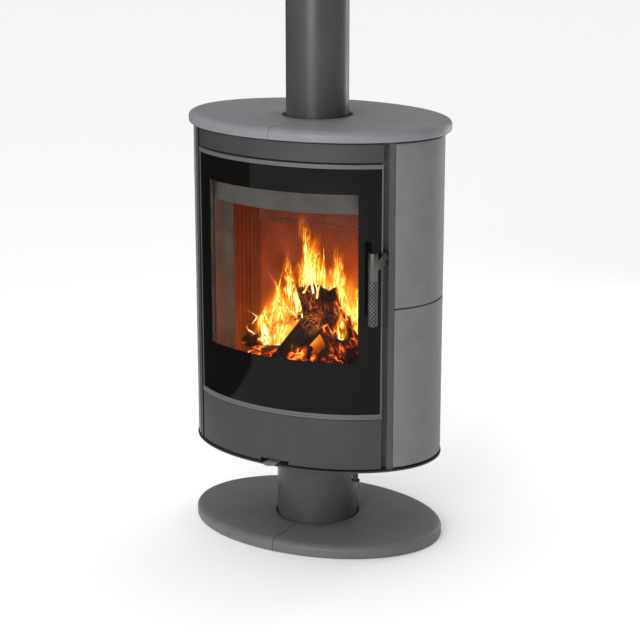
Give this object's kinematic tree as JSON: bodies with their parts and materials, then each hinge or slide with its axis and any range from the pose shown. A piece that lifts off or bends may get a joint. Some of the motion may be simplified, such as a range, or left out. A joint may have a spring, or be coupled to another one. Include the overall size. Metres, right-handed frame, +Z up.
{
  "type": "wood burning stove",
  "caption": "Oval wood stove with a curved glass door, ceramic side tiles and top slab, on a swivelling column with a flue pipe on top.",
  "frame": {"origin": "on the floor at the pedestal's axis, centre of the air hole in the floor plate", "axes": "+Z up along the pedestal and flue axis, the door faces -Y, +X to the handle side"},
  "size_m": [0.661, 0.4895, 1.44],
  "materials": {
    "floor_steel": "satin",
    "base_ceramic": "satin",
    "column_paint": "satin",
    "bearing_steel": "brushed",
    "body_steel": "matte",
    "front_panel_paint": "satin",
    "profile_steel": "satin",
    "front_frame_paint": "matte",
    "tile_ceramic": "satin",
    "rubber_pads": "matte",
    "slab_ceramic": "satin",
    "lining_brick": "matte",
    "grate_iron": "matte",
    "pan_steel": "matte",
    "washer_brass": "satin",
    "pipe_paint": "satin",
    "glass": "polished",
    "seal_rope": "woven",
    "door_rail_steel": "satin",
    "handle_steel": "satin",
    "lever_steel": "satin",
    "knob_black": "satin"
  },
  "bodies": {
    "pedestal": {"floor_plate": "floor_steel", "base_cladding_left": "base_ceramic", "base_cladding_right": "base_ceramic", "pedestal_column": "column_paint", "column_flange": "floor_steel", "lower_race": "bearing_steel", "bearing_balls": "bearing_steel"},
    "stove_body": {"upper_race": "bearing_steel", "bottom_plate": "body_steel", "air_spigot": "body_steel", "lower_front_panel": "front_panel_paint", "upper_front_panel": "front_panel_paint", "front_profile_left": "profile_steel", "front_profile_right": "profile_steel", "front_frame": "front_frame_paint", "side_panel_left": "body_steel", "side_panel_right": "body_steel", "tile_lower_left": "tile_ceramic", "tile_lower_right": "tile_ceramic", "tile_upper_left": "tile_ceramic", "tile_upper_right": "tile_ceramic", "tile_pads": "rubber_pads", "back_panel": "body_steel", "rear_profiles": "floor_steel", "top_frame": "floor_steel", "top_slab_left": "slab_ceramic", "top_slab_right": "slab_ceramic", "firebox_shell": "body_steel", "lining_left": "lining_brick", "lining_right": "lining_brick", "lining_back_left": "lining_brick", "lining_back_right": "lining_brick", "hearth_bricks": "lining_brick", "grate": "grate_iron", "ash_pan": "pan_steel", "baffle": "lining_brick", "air_rail": "pan_steel", "flue_collar": "body_steel", "latch_keeper": "bearing_steel", "hinge_brackets": "floor_steel", "hinge_pins": "bearing_steel", "hinge_washer": "washer_brass", "air_guides": "floor_steel", "panel_screws": "bearing_steel"},
    "flue": {"flue_pipe": "pipe_paint"},
    "door": {"door_frame": "front_frame_paint", "door_glass": "glass", "glass_seal": "seal_rope", "door_top_rail": "door_rail_steel", "door_bottom_rail": "door_rail_steel", "door_trims": "door_rail_steel", "door_seal": "seal_rope", "handle_bracket": "floor_steel", "handle_pivot": "bearing_steel"},
    "door_handle": {"handle_arm": "handle_steel", "handle_bar": "handle_steel", "handle_grip": "handle_steel"},
    "air_lever": {"air_lever": "lever_steel"},
    "air_valve": {"air_valve_knob": "knob_black", "air_valve_disc": "knob_black"}
  },
  "joints": [
    {"name": "swivel", "type": "hinge", "parent": "pedestal", "child": "stove_body", "pos_m": [0, 0, 0.2085], "axis": [0, 0, 1], "range_deg": [-45, 45]},
    {"name": "flue_slip", "type": "hinge", "parent": "stove_body", "child": "flue", "pos_m": [0, 0, 1], "axis": [0, 0, 1], "range_deg": [-45, 45]},
    {"name": "door_swing", "type": "hinge", "parent": "stove_body", "child": "door", "pos_m": [-0.24348, -0.13054, 0.65], "axis": [0, 0, -1], "range_deg": [0, 90]},
    {"name": "handle_lift", "type": "hinge", "parent": "door", "child": "door_handle", "pos_m": [0.25, -0.13091, 0.738], "axis": [-1, 0, 0], "range_deg": [0, 22]},
    {"name": "air_slide", "type": "slide", "parent": "stove_body", "child": "air_lever", "axis": [1, 0, 0], "range_m": [-0.014, 0.03]},
    {"name": "valve_push", "type": "slide", "parent": "stove_body", "child": "air_valve", "axis": [0, 0, 1], "range_m": [0, 0.008]}
  ],
  "couplings": [
    {"joint": "flue_slip", "follows": "swivel", "ratio": -1}
  ]
}
